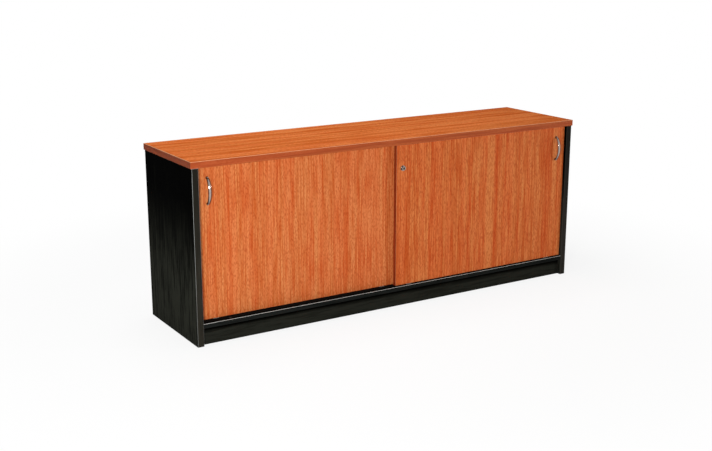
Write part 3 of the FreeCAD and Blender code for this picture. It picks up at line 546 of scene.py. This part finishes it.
@dataclass(frozen=True)
class Finishes:
    """Every finish of the credenza."""

    top: BeechPrint = BeechPrint("beech_top_print", Grain.ALONG_X, pale=shade(223, 127, 67),
                                 deep=shade(193, 87, 28), slide=3.0, ribbon_share=0.40, contrast=1.3,
                                 roughness=0.78, gloss=0.01)
    left_face: BeechPrint = BeechPrint("beech_left_door_print", Grain.ALONG_Z, pale=shade(218, 132, 76),
                                       deep=shade(198, 91, 38), fleck=shade(172, 62, 18), slide=11.0)
    right_face: BeechPrint = BeechPrint("beech_right_door_print", Grain.ALONG_Z, pale=shade(214, 124, 66),
                                        deep=shade(192, 83, 30), fleck=shade(166, 56, 14),
                                        slide=27.0, ribbon_share=0.36)
    # The beech bands get a painted highlight on their arrises, only on the upper ones where upper_arris_only
    # is set.
    front_band: BeechPrint = BeechPrint("beech_front_band", Grain.LEVEL, pale=shade(178, 86, 45),
                                        deep=shade(157, 69, 34), painted_arris_highlight=True, upper_arris_only=True)
    # A darker copy of the front band: painted shade on the worktop's end faces.
    end_band_painted_shade: BeechPrint = BeechPrint("beech_end_band", Grain.LEVEL, pale=shade(138, 68, 40),
                                      deep=shade(116, 54, 30), painted_arris_highlight=True, upper_arris_only=True,
                                      gloss=0.02)
    door_band: BeechPrint = BeechPrint("beech_door_band", Grain.ALONG_Z, pale=shade(142, 56, 26),
                                       deep=shade(118, 42, 16), core=shade(240, 168, 118), painted_arris_highlight=True)
    # Uprights: near-black up high and painted paler towards the floor, standing in for light from the floor.
    upright: Charcoal = Charcoal("charcoal_upright", Grain.ALONG_Z, dark=shade(1, 1, 1),
                                 pale_and_lit=shade(45, 46, 40), dark_above=0.57)
    level: Charcoal = Charcoal("charcoal_level", Grain.ALONG_X)
    deepwise: Charcoal = Charcoal("charcoal_deepwise", Grain.ALONG_Y)
    # Inner boards: only a little painted floor light.
    inner: Charcoal = Charcoal("charcoal_inner", Grain.ALONG_X, painted_floor_light=0.12)
    # Kickboard: painted floor light only in a low strip, leaving a painted shadow at its top under the
    # bottom band.
    kick: Charcoal = Charcoal("charcoal_kick", Grain.ALONG_X, liveliness=0.35, pale_up_to=0.040,
                              dark_above=0.062)
    # The charcoal bands get a painted highlight on their arrises: fainter low down on the upright band,
    # faint on the right band, only on the top arris of the level band.
    upright_band: Charcoal = Charcoal("charcoal_upright_band", Grain.ALONG_Z, dark=shade(34, 32, 27),
                                      pale_and_lit=shade(46, 44, 38), highlight_low=0.42, painted_arris_highlight=True)
    right_band: Charcoal = Charcoal("charcoal_right_band", Grain.ALONG_Z, dark=shade(36, 34, 31),
                                    pale_and_lit=shade(48, 46, 42), core=shade(62, 60, 56), painted_arris_highlight=True)
    level_band: Charcoal = Charcoal("charcoal_level_band", Grain.ALONG_X, dark=shade(18, 20, 19),
                                    pale_and_lit=shade(30, 32, 31), core=shade(230, 230, 226), painted_arris_highlight=True,
                                    upper_arris_only=True)
    # Chrome: the dark, warm tint, dark flanks and dark rim paint the reflections of a dark room and of the
    # beech doors.
    chrome: Metal = Metal("polished_chrome", (0.46, 0.37, 0.33, 1.0), (0.38, 0.30, 0.27, 1.0), 0.10,
                          left_flank_shade=0.40, right_flank_shade=0.06, painted_rim_tint=(0.10, 0.08, 0.07, 1.0))
    # A near-black copy of the chrome with dark flanks: a painted dark reflection on the lock plug.
    painted_reflection: Metal = Metal("smoked_chrome", (0.10, 0.09, 0.07, 1.0), (0.07, 0.06, 0.05, 1.0), 0.18,
                          left_flank_shade=0.3, right_flank_shade=0.3, painted_rim_tint=(0.10, 0.08, 0.07, 1.0))
    steel: Metal = Metal("zinc_plated_steel", (0.56, 0.57, 0.58, 1.0), (0.42, 0.43, 0.45, 1.0), 0.34)
    die_cast: Metal = Metal("die_cast_zinc", (0.42, 0.42, 0.43, 1.0), (0.33, 0.33, 0.34, 1.0), 0.48,
                            even(250.0, 3.0, 0.6), even(1500.0, 1.0), Relief(0.03 * MM, 0.3))
    nylon: Moulding = Moulding("white_nylon", shade(228, 226, 216), shade(214, 210, 196), 0.45)
    plastic: Moulding = Moulding("black_plastic", shade(30, 30, 30), shade(42, 42, 41), 0.50)
    track: Moulding = Moulding("black_track", shade(8, 8, 8), shade(14, 14, 13), 0.70, 0.03)
    rubber: Moulding = Moulding("black_rubber", shade(34, 34, 33), shade(50, 50, 48), 0.80, 0.2)
    dowel_wood: BeechPrint = BeechPrint("pale_dowel_wood", Grain.LEVEL, pale=shade(226, 198, 154),
                                        deep=shade(204, 172, 124), fleck=shade(180, 146, 100))


# ---------------------------------------------------------------- making and dressing
def shown(name: str, data: bpy.types.ID) -> bpy.types.Object:
    """A new object in the scene.

    Args:
        name: Its name.
        data: Its mesh, lamp or camera.

    Returns:
        The object.
    """
    thing = bpy.data.objects.new(name, data)
    bpy.context.scene.collection.objects.link(thing)
    return thing


def aimed(stand: Vector, ahead: Vector) -> Matrix:
    """The placement of a lamp or camera that stands at a point and looks ahead."""
    return Matrix.Translation(stand) @ ahead.to_track_quat("-Z", "Y").to_matrix().to_4x4()


def as_mesh(shape: Shape, name: str) -> bpy.types.Mesh:
    """Writes a shape into a new mesh.

    Args:
        shape: The shape; it is freed.
        name: The mesh's name.

    Returns:
        The mesh.
    """
    mesh = bpy.data.meshes.new(name)
    shape.to_mesh(mesh)
    shape.free()
    return mesh


def dress(finish: Finish, *nodes: str) -> None:
    """Puts a finish on CAD nodes.

    Args:
        finish: What they get.
        nodes: Their names.
    """
    for name in nodes:
        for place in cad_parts[name].material_slots:
            place.material = finish.material()
        log.info("dressed %s in %s", name, finish.name)


def place_piece(shape: Shape, name: str, body: str, slot: str, finish: Finish,
                *stands_for: str) -> bpy.types.Object:
    """Turns a shape into a piece that rides on a body and stands for CAD nodes.

    Args:
        shape: The shape, in its place; it is freed.
        name: The piece's name.
        body: The body it rides on.
        slot: The record's material slot; it is not used.
        finish: What it is dressed in.
        stands_for: The CAD nodes that it replaces.

    Returns:
        The object.
    """
    mesh = as_mesh(shape, name)
    mesh.shade_smooth()
    mesh.set_sharp_from_angle(angle=SHARP_ANGLE)
    mesh.materials.append(finish.material())
    piece = shown(name, mesh)
    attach(piece, body)
    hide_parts(*stands_for)
    log.info("made %s, %d faces, riding on %s", name, len(mesh.polygons), body)
    return piece


def turned(profile: list[tuple[float, float]], steps: int = 40) -> Shape:
    """A shape turned on a lathe round the Z axis.

    Args:
        profile: Radius and height pairs, from one end of the axis to the other.
        steps: How many flats the turn has.

    Returns:
        The closed shape at the origin.
    """
    shape = bmesh.new()
    points = [shape.verts.new((radius, 0, height)) for radius, height in profile]
    lines = [shape.edges.new(pair) for pair in zip(points, points[1:])]
    bmesh.ops.spin(shape, geom=points + lines, cent=(0, 0, 0), axis=(0, 0, 1), angle=FULL_TURN,
                   steps=steps, use_merge=True)
    bmesh.ops.remove_doubles(shape, verts=shape.verts, dist=WELD)
    bmesh.ops.recalc_face_normals(shape, faces=shape.faces)
    return shape


def bridged(places: list[Matrix], flats: int, radius: float = 1.0) -> Shape:
    """Rings joined one to the next, with the first and the last closed.

    Args:
        places: Where each ring goes.
        flats: How many sides a ring has.
        radius: The rings' radius before they are placed.

    Returns:
        The closed shape.
    """
    shape = bmesh.new()
    before: list[bmesh.types.BMEdge] = []
    for number, place in enumerate(places):
        at_end = number in (0, len(places) - 1)
        ring = bmesh.ops.create_circle(shape, cap_ends=at_end, segments=flats, radius=radius,
                                       matrix=place)["verts"]
        edges = list({edge for vert in ring for edge in vert.link_edges})
        if before:
            bmesh.ops.bridge_loops(shape, edges=before + edges)
        before = edges
    return shape


def copied_to(shape: Shape, places: list[Matrix]) -> Shape:
    """One shape repeated at several places.

    Args:
        shape: The shape at the origin; it is freed.
        places: Where each copy goes.

    Returns:
        All the copies in one shape.
    """
    pattern = as_mesh(shape, "pattern")
    copies = bmesh.new()
    for place in places:
        known = len(copies.verts)
        copies.from_mesh(pattern)
        copies.verts.ensure_lookup_table()
        bmesh.ops.transform(copies, matrix=place, verts=copies.verts[known:])
    bpy.data.meshes.remove(pattern)
    return copies


def joined(shape: Shape, other: Shape) -> Shape:
    """Adds one shape to another.

    Args:
        shape: What is added to.
        other: What is added; it is freed.

    Returns:
        The first shape, which now holds both.
    """
    mesh = as_mesh(other, "added")
    shape.from_mesh(mesh)
    bpy.data.meshes.remove(mesh)
    return shape


def carved(shape: Shape, cutter: Shape) -> Shape:
    """A shape with another taken out of it.

    Args:
        shape: What is carved; it is freed.
        cutter: What is taken out; it is freed.

    Returns:
        The carved shape.
    """
    blank, tool = (shown(name, as_mesh(part, name)) for name, part in (("blank", shape), ("tool", cutter)))
    cut = blank.modifiers.new("cut", "BOOLEAN")
    cut.object = tool
    cut.operation = "DIFFERENCE"
    cut.solver = "EXACT"
    cut.use_self = True
    scene_now = bpy.context.evaluated_depsgraph_get()
    result = bmesh.new()
    result.from_object(blank, scene_now)
    for used in (blank, tool):
        mesh = used.data
        bpy.data.objects.remove(used)
        bpy.data.meshes.remove(mesh)
    return result


class Head(Enum):
    """The screw heads in use."""
    DOMED = "stands on its seat"
    SUNK = "lies flush in its seat"


@dataclass
class CrossHeadScrew:
    """A ribbed screw with a cross recess; its seat is at the origin and its head looks up Z.

    The recess's reach and depth are shares of the head, its blades' width a share of their span, which
    narrows by the taper, the core a share of the shank and the ramp a share of the pitch.
    """

    head: Head
    head_radius: float
    head_height: float
    shank_radius: float
    length: float
    recess_reach: float = 0.60
    recess_depth: float = 0.65
    blade: float = 0.20
    taper: float = 0.5
    core: float = 0.72
    ramp: float = 0.3
    pitch: float = 1.8 * MM
    flats: int = 24

    @property
    def crown(self) -> float:
        """How high the head's face is above the seat."""
        return self.head_height if self.head is Head.DOMED else 0.0

    def head_line(self) -> list[tuple[float, float]]:
        """The head's profile, from its middle down to the shank.

        Returns:
            Radius and height pairs.
        """
        r, h, s = self.head_radius, self.head_height, self.shank_radius
        if self.head is Head.SUNK:
            return [(0.0, 0.0), (0.95 * r, 0.0), (r, -0.03 * h), (r, -0.10 * h), (s, -h)]
        return [(0.0, h), (0.42 * r, 0.97 * h), (0.72 * r, 0.86 * h), (0.92 * r, 0.60 * h), (r, 0.22 * h),
                (r, 0.0), (s, 0.0)]

    def thread_line(self) -> list[tuple[float, float]]:
        """The ribbed shank and its point, from the head down.

        Returns:
            Radius and height pairs.
        """
        s = self.shank_radius
        start = -self.head_height - self.pitch
        ribs = int((self.length + start - 2 * s) / self.pitch)
        line = [(s, start)]
        for rib in range(ribs):
            height = start - rib * self.pitch
            line += [(self.core * s, height - self.ramp * self.pitch),
                     (self.core * s, height - (1 - self.ramp) * self.pitch), (s, height - self.pitch)]
        return line + [(self.core * s, start - (ribs + self.ramp) * self.pitch), (0.0, -self.length)]

    def driver_tip(self) -> Shape:
        """Two crossed blades that narrow downwards.

        Returns:
            The cutter at the origin.
        """
        span = 2 * self.recess_reach * self.head_radius
        middle = self.crown + (0.5 - self.recess_depth) * self.head_height
        tip = bmesh.new()
        for size in ((span, self.blade * span), (self.blade * span, span)):
            blade = bmesh.ops.create_cube(tip, size=1.0)["verts"]
            bmesh.ops.scale(tip, vec=(*size, self.head_height), verts=blade)
            bmesh.ops.translate(tip, vec=(0, 0, middle), verts=blade)
            low = [vert for vert in blade if vert.co.z < middle]
            bmesh.ops.scale(tip, vec=(self.taper, self.taper, 1.0), verts=low)
        return tip

    def driven(self, seats: list[Vector], turn: Matrix) -> Shape:
        """The screw with its recess cut, at each of its seats, with its head turned one way."""
        screw = carved(turned(self.head_line() + self.thread_line(), self.flats), self.driver_tip())
        return copied_to(screw, [Matrix.Translation(seat) @ turn for seat in seats])


# ---------------------------------------------------------------- sub-assemblies
@dataclass
class Carcass:
    """The worktop, side panels, inner boards, plinth and the fittings that hold them."""

    finishes: Finishes
    back_screw: CrossHeadScrew = field(default_factory=lambda: CrossHeadScrew(
        Head.SUNK, 4.0 * MM, 2.2 * MM, 2.0 * MM, 34.0 * MM))
    back_screws_wide: int = 6
    back_screws_high: int = 3

    def dress_worktop(self) -> None:
        """The beech top and its bands."""
        dress(self.finishes.top, "worktop")
        dress(self.finishes.front_band, "worktop_front_band")
        dress(self.finishes.end_band_painted_shade, "worktop_edge_bands")

    def dress_boards(self) -> None:
        """The charcoal boards, each with its grain the way it was cut."""
        dress(self.finishes.upright, "left_side_panel", "right_side_panel", "back_panel", "centre_divider")
        dress(self.finishes.inner, "bottom_panel", "left_shelf", "right_shelf")
        dress(self.finishes.kick, "kickboard")
        dress(self.finishes.level, "rear_plinth_rail")
        dress(self.finishes.deepwise, "plinth_centre_rail")
        dress(self.finishes.upright_band, "left_side_front_band", "divider_front_band")
        dress(self.finishes.right_band, "right_side_front_band")
        dress(self.finishes.level_band, "bottom_front_band", "shelf_front_bands")

    def dress_fittings(self) -> None:
        """Tracks, stops, cams, dowels, pins and glides."""
        dress(self.finishes.track, "upper_track", "lower_track")
        dress(self.finishes.plastic, "floor_glides")
        dress(self.finishes.rubber, "track_stops", "door_buffers")
        dress(self.finishes.steel, "cam_bolts", "shelf_pins")
        dress(self.finishes.die_cast, "cam_locks")
        dress(self.finishes.dowel_wood, "dowels")

    def screw_back(self) -> None:
        """The back panel's screws: a row into the bottom panel, a column into the divider."""
        low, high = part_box("back_panel_screws")
        inset = self.back_screw.head_radius
        first, level = low.x + inset, low.z + inset
        step = (high.x - low.x - 2 * inset) / (self.back_screws_wide - 1)
        places = [Vector((first + step * n, high.y, level)) for n in range(self.back_screws_wide)]
        foot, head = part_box("centre_divider")
        rise = (head.z - foot.z) / (self.back_screws_high + 1)
        places += [Vector((0, high.y, foot.z + rise * (n + 1))) for n in range(self.back_screws_high)]
        place_piece(self.back_screw.driven(places, TO_REAR), "back_cross_head_screws", "carcass", "steel",
                    self.finishes.steel, "back_panel_screws")

    def build(self) -> None:
        """Dresses the whole carcass and drives its visible screws."""
        self.dress_worktop()
        self.dress_boards()
        self.dress_fittings()
        self.screw_back()


@dataclass
class BowHandle:
    """A chromed bow on two turned posts, which stands for a door's handle node."""

    side: str
    finishes: Finishes
    post_radius: float = 5.5 * MM
    neck_radius: float = 4.0 * MM
    post_height: float = 7.0 * MM
    middle_width: float = 12.0 * MM
    end_width: float = 9.0 * MM
    middle_depth: float = 8.0 * MM
    end_depth: float = 7.0 * MM
    end_round: float = 1.6 * MM
    stations: int = 28
    flats: int = 28

    @property
    def node(self) -> str:
        """The CAD node that it stands for."""
        return f"{self.side}_door_handle"

    def bow(self, centre: Vector, half: float, projection: float) -> Shape:
        """Oval rings along an arc, bridged, with rounded ends.

        Args:
            centre: The point on the door's face between the posts.
            half: Half the distance between the posts.
            projection: How far the bow stands out from the door.

        Returns:
            The bow in its place.
        """
        rise = projection - self.middle_depth / 2 - self.post_height
        radius = (half ** 2 + rise ** 2) / (2 * rise)
        spread = math.asin(half / radius)
        pivot = centre + Vector((0, radius - rise - self.post_height, 0))
        rings = []
        for station in range(self.stations + 1):
            share = 2 * station / self.stations - 1
            fullness = math.cos(share * math.pi / 2)
            width = self.end_width + (self.middle_width - self.end_width) * fullness
            depth = self.end_depth + (self.middle_depth - self.end_depth) * fullness
            rings.append(Matrix.Translation(pivot) @ Matrix.Rotation(share * spread, 4, "X").inverted()
                         @ Matrix.Translation((0, -radius, 0))
                         @ Matrix.Diagonal((width / 2, depth / 2, 1, 1)))
        shape = bridged(rings, self.flats)
        rims = [edge for face in shape.faces if len(face.verts) == self.flats for edge in face.edges]
        bmesh.ops.bevel(shape, geom=rims, offset=self.end_round, segments=4, profile=0.5,
                        affect="EDGES", material=-1)
        bmesh.ops.recalc_face_normals(shape, faces=shape.faces)
        return shape

    def post(self) -> Shape:
        """A turned post with a flared foot, standing on the origin.

        Returns:
            The shape.
        """
        r, n, h = self.post_radius, self.neck_radius, self.post_height
        return turned([(0.0, 0.0), (0.94 * r, 0.0), (r, 0.06 * h), (r, 0.14 * h), (0.93 * r, 0.24 * h),
                       (0.5 * (r + n), 0.42 * h), (1.04 * n, 0.66 * h), (n, 0.86 * h), (n, 1.0 * h),
                       (0.0, 1.0 * h)])

    def build(self) -> None:
        """Makes the handle from its node's box."""
        low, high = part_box(self.node)
        middle = (low + high) / 2
        half = (high.z - low.z) / 2 - self.post_radius
        face = Vector((middle.x, high.y, middle.z))
        feet = [Matrix.Translation(face + Vector((0, 0, end * half))) @ TO_FRONT for end in (-1, 1)]
        shape = joined(self.bow(face, half, high.y - low.y), copied_to(self.post(), feet))
        place_piece(shape, f"{self.side}_bow_handle", f"{self.side}_door", "chrome",
                    self.finishes.chrome, self.node)


@dataclass
class CoilSpring:
    """A wound wire spring that stands for a CAD node."""

    node: str
    body: str
    joint: str
    finishes: Finishes
    wire_radius: float = 0.4 * MM
    turns: int = 6
    travel: float = 8.0 * MM
    end_gap: float = 0.1 * MM
    lies_along_y: bool = False
    stations: int = 20
    flats: int = 8

    def wound(self, radius: float, length: float) -> Shape:
        """Rings along a helix up the Z axis, bridged and capped.

        Args:
            radius: From the axis to the wire's middle.
            length: The spring's whole length.

        Returns:
            The spring standing on the origin.
        """
        pitch = (length - 2 * self.wire_radius) / self.turns
        lean = Matrix.Rotation(math.atan(pitch / (FULL_TURN * radius)) - FULL_TURN / 4, 4, "X")
        rings = []
        for station in range(self.turns * self.stations + 1):
            height = self.wire_radius + pitch * station / self.stations
            rings.append(Matrix.Rotation(FULL_TURN * station / self.stations, 4, "Z")
                         @ Matrix.Translation((radius, 0, height)) @ lean)
        shape = bridged(rings, self.flats, self.wire_radius)
        bmesh.ops.recalc_face_normals(shape, faces=shape.faces)
        return shape

    def build(self) -> None:
        """Winds the spring into its node's box."""
        low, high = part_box(self.node)
        middle = (low + high) / 2
        length = high.y - low.y if self.lies_along_y else high.z - low.z
        radius = (high.x - low.x) / 2 - self.wire_radius
        if self.lies_along_y:
            foot, fixed, axis, turn = low.y, high.y + self.end_gap, Vector((0, 1, 0)), TO_REAR
        else:
            foot, fixed, axis, turn = low.z, low.z - self.end_gap, Vector((0, 0, 1)), Matrix.Identity(4)
        across = middle - middle.dot(axis) * axis
        place = Matrix.Translation(across + foot * axis) @ turn
        shape = self.wound(radius, length)
        bmesh.ops.transform(shape, matrix=place, verts=shape.verts)
        piece = place_piece(shape, f"{self.node}_coil", self.body, "steel", self.finishes.steel, self.node)
        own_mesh(piece)


@dataclass
class SlidingDoor:
    """One sliding door with its bands, handle, rollers and guides."""

    side: str
    face: BeechPrint
    finishes: Finishes
    handle_screw: CrossHeadScrew = field(default_factory=lambda: CrossHeadScrew(
        Head.DOMED, 3.5 * MM, 2.2 * MM, 1.95 * MM, 26.0 * MM))

    def nodes(self, *ends: str) -> list[str]:
        """The door's node names with these endings."""
        return [f"{self.side}_door_{end}" for end in ends]

    def screw_handle(self) -> None:
        """The two screws that hold the handle from behind."""
        low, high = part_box(self.nodes("handle_screws")[0])
        inset = self.handle_screw.head_radius
        seat = Vector(((low.x + high.x) / 2, high.y - self.handle_screw.head_height, 0))
        places = [seat + Vector((0, 0, height)) for height in (low.z + inset, high.z - inset)]
        place_piece(self.handle_screw.driven(places, TO_REAR), f"{self.side}_handle_cross_head_screws",
                    f"{self.side}_door", "steel", self.finishes.steel, *self.nodes("handle_screws"))

    def build(self) -> None:
        """Dresses the door and makes its handle."""
        dress(self.face, *self.nodes("panel"))
        dress(self.finishes.door_band, *self.nodes("edge_bands"))
        dress(self.finishes.steel, *self.nodes("axles"))
        dress(self.finishes.plastic, *self.nodes("roller_housings", "guide_housings"))
        dress(self.finishes.nylon, *self.nodes("outer_wheel", "inner_wheel", "outer_guide", "inner_guide"))
        BowHandle(self.side, self.finishes).build()
        self.screw_handle()
        for guide in self.nodes("outer_guide", "inner_guide"):
            CoilSpring(f"{guide}_spring", f"{self.side}_door", f"{guide}_retract", self.finishes).build()


@dataclass
class PushLock:
    """The push lock in the front door and its strike on the other."""

    finishes: Finishes
    strike_screw: CrossHeadScrew = field(default_factory=lambda: CrossHeadScrew(
        Head.SUNK, 3.0 * MM, 1.8 * MM, 1.5 * MM, 14.0 * MM, pitch=1.4 * MM))

    def screw_strike(self) -> None:
        """The strike's two screws, flush with its face."""
        low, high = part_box("strike_screws")
        inset = self.strike_screw.head_radius
        middle = (low.x + high.x) / 2
        places = [Vector((middle, low.y, height)) for height in (low.z + inset, high.z - inset)]
        place_piece(self.strike_screw.driven(places, TO_FRONT), "strike_cross_head_screws", "left_door",
                    "steel", self.finishes.steel, "strike_screws")

    def build(self) -> None:
        """Dresses the lock and screws its strike down."""
        dress(self.finishes.chrome, "lock_sleeve", "lock_cylinder")
        # The plug gets the near-black chrome, a painted dark reflection.
        dress(self.finishes.painted_reflection, "lock_plug")
        CoilSpring("lock_spring", "right_door", "lock_push", self.finishes, turns=4, travel=7.0 * MM,
                   lies_along_y=True).build()
        dress(self.finishes.plastic, "lock_strike")
        self.screw_strike()


# ---------------------------------------------------------------- studio and camera
@dataclass
class SoftLamp:
    """A rectangular lamp aimed at a point."""

    name: str
    stand: Vector
    aim: Vector
    width: float
    depth: float
    watts: float
    tint: tuple[float, float, float] = (1.0, 1.0, 1.0)

    def build(self) -> None:
        """Adds the lamp to the scene."""
        lamp = bpy.data.lights.new(self.name, "AREA")
        lamp.shape = "RECTANGLE"
        lamp.size = self.width
        lamp.size_y = self.depth
        lamp.energy = self.watts
        lamp.color = self.tint
        shown(self.name, lamp).matrix_world = aimed(self.stand, self.aim - self.stand)
        log.info("lamp %s, %.0f W", self.name, self.watts)


@dataclass
class Studio:
    """A white floor and room with four lamps."""

    floor_reach: float = 30.0
    floor_tint: Colour = (0.92, 0.92, 0.92, 1.0)
    shadow_share: float = 0.13
    shadow_fade: Range = (1.0, 2.2)
    room_light: float = 0.13
    lamps: list[SoftLamp] = field(default_factory=lambda: [
        SoftLamp("key_lamp", Vector((-2.5, -2.95, 1.2)), Vector((-0.8, 0.0, 0.35)), 0.3, 0.3, 78.0),
        SoftLamp("side_lamp", Vector((3.4, -2.8, 1.3)), Vector((0.8, -0.2, 0.4)), 0.3, 0.3, 38.0,
                 (1.0, 0.95, 0.90)),
        SoftLamp("top_lamp", Vector((-0.6, 0.2, 3.4)), Vector((-0.2, 0.0, 0.5)), 2.6, 1.6, 72.0),
        SoftLamp("back_lamp", Vector((3.2, 3.6, 0.36)), Vector((0.0, 0.0, 0.36)), 1.2, 0.5, 90.0),
    ])

    @staticmethod
    def seen_directly(tree: bpy.types.NodeTree) -> Socket:
        """A value of 1 for what is seen straight, mirrored or through something clear.

        Args:
            tree: The node tree it is added to.

        Returns:
            The value socket.
        """
        path = tree.nodes.new("ShaderNodeLightPath")
        value = path.outputs["Is Camera Ray"]
        for other in ("Is Glossy Ray", "Is Transmission Ray"):
            most = tree.nodes.new("ShaderNodeMath")
            most.operation = "MAXIMUM"
            tree.links.new(value, most.inputs[0])
            tree.links.new(path.outputs[other], most.inputs[1])
            value = most.outputs[0]
        return value

    def build_room(self) -> None:
        """The room: soft light on the object, white where it is seen."""
        world = bpy.data.worlds.new("white_room")
        bpy.context.scene.world = world
        world.use_nodes = True
        tree = world.node_tree
        tree.nodes.clear()
        output = tree.nodes.new("ShaderNodeOutputWorld")
        mix = tree.nodes.new("ShaderNodeMixShader")
        tree.links.new(self.seen_directly(tree), mix.inputs[0])
        for slot, strength in ((1, self.room_light), (2, 1.0)):
            back = tree.nodes.new("ShaderNodeBackground")
            back.inputs["Color"].default_value = (1.0, 1.0, 1.0, 1.0)
            back.inputs["Strength"].default_value = strength
            tree.links.new(back.outputs[0], mix.inputs[slot])
        tree.links.new(mix.outputs[0], output.inputs["Surface"])

    def floor_material(self) -> bpy.types.Material:
        """A white floor that keeps a soft shadow.

        Returns:
            The material.
        """
        pen = Sketch("white_floor")
        paint = pen.tree.nodes.new("ShaderNodeBsdfDiffuse")
        paint.inputs["Color"].default_value = self.floor_tint
        glow = pen.tree.nodes.new("ShaderNodeEmission")
        reach = pen.tree.nodes.new("ShaderNodeVectorMath")
        reach.operation = "LENGTH"
        pen.link(pen.places.outputs["Object"], reach.inputs[0])
        away = pen.spread(reach.outputs["Value"], *self.shadow_fade, 1 - self.shadow_share, 1.0)
        mix = pen.tree.nodes.new("ShaderNodeMixShader")
        pen.link(pen.math("MULTIPLY", away, self.seen_directly(pen.tree)), mix.inputs[0])
        pen.link(paint.outputs[0], mix.inputs[1])
        pen.link(glow.outputs[0], mix.inputs[2])
        pen.link(mix.outputs[0], pen.output.inputs["Surface"])
        return pen.made

    def build_floor(self) -> None:
        """A flat floor under the credenza."""
        shape = bmesh.new()
        bmesh.ops.create_grid(shape, x_segments=1, y_segments=1, size=self.floor_reach)
        mesh = as_mesh(shape, "floor")
        mesh.materials.append(self.floor_material())
        floor = shown("floor", mesh)

    def build(self) -> None:
        """Makes the room, the floor and the lamps."""
        self.build_room()
        self.build_floor()
        for lamp in self.lamps:
            lamp.build()
        bpy.context.scene.view_settings.view_transform = "Standard"


@dataclass
class Viewpoint:
    """The camera: its stand and sight in metres, turn and dip in radians, lens and sensor in millimetres."""

    stand: Vector = field(default_factory=lambda: Vector((-2.4376, -3.8153, 1.4684)))
    turn: float = 0.5550
    dip: float = 0.2530
    lens: float = 56.29
    sensor: float = 36.0
    sight: float = 200.0

    def build(self) -> None:
        """Adds the camera and makes it the scene's."""
        lens = bpy.data.cameras.new("camera")
        lens.lens = self.lens
        lens.sensor_width = self.sensor
        lens.sensor_fit = "HORIZONTAL"
        lens.clip_end = self.sight
        level = math.cos(self.dip)
        ahead = Vector((math.sin(self.turn) * level, math.cos(self.turn) * level, -math.sin(self.dip)))
        camera = shown("camera", lens)
        camera.matrix_world = aimed(self.stand, ahead)
        bpy.context.scene.camera = camera
        log.info("camera at %.3f, %.3f, %.3f", *self.stand)


def main() -> None:
    """Builds and dresses the credenza, then sets up the studio and the camera."""
    logging.basicConfig(level=logging.INFO, format="%(name)s: %(message)s")
    finishes = Finishes()
    Viewpoint().build()
    Carcass(finishes).build()
    SlidingDoor("left", finishes.left_face, finishes).build()
    SlidingDoor("right", finishes.right_face, finishes).build()
    PushLock(finishes).build()
    Studio().build()


if __name__ == "__main__":
    main()
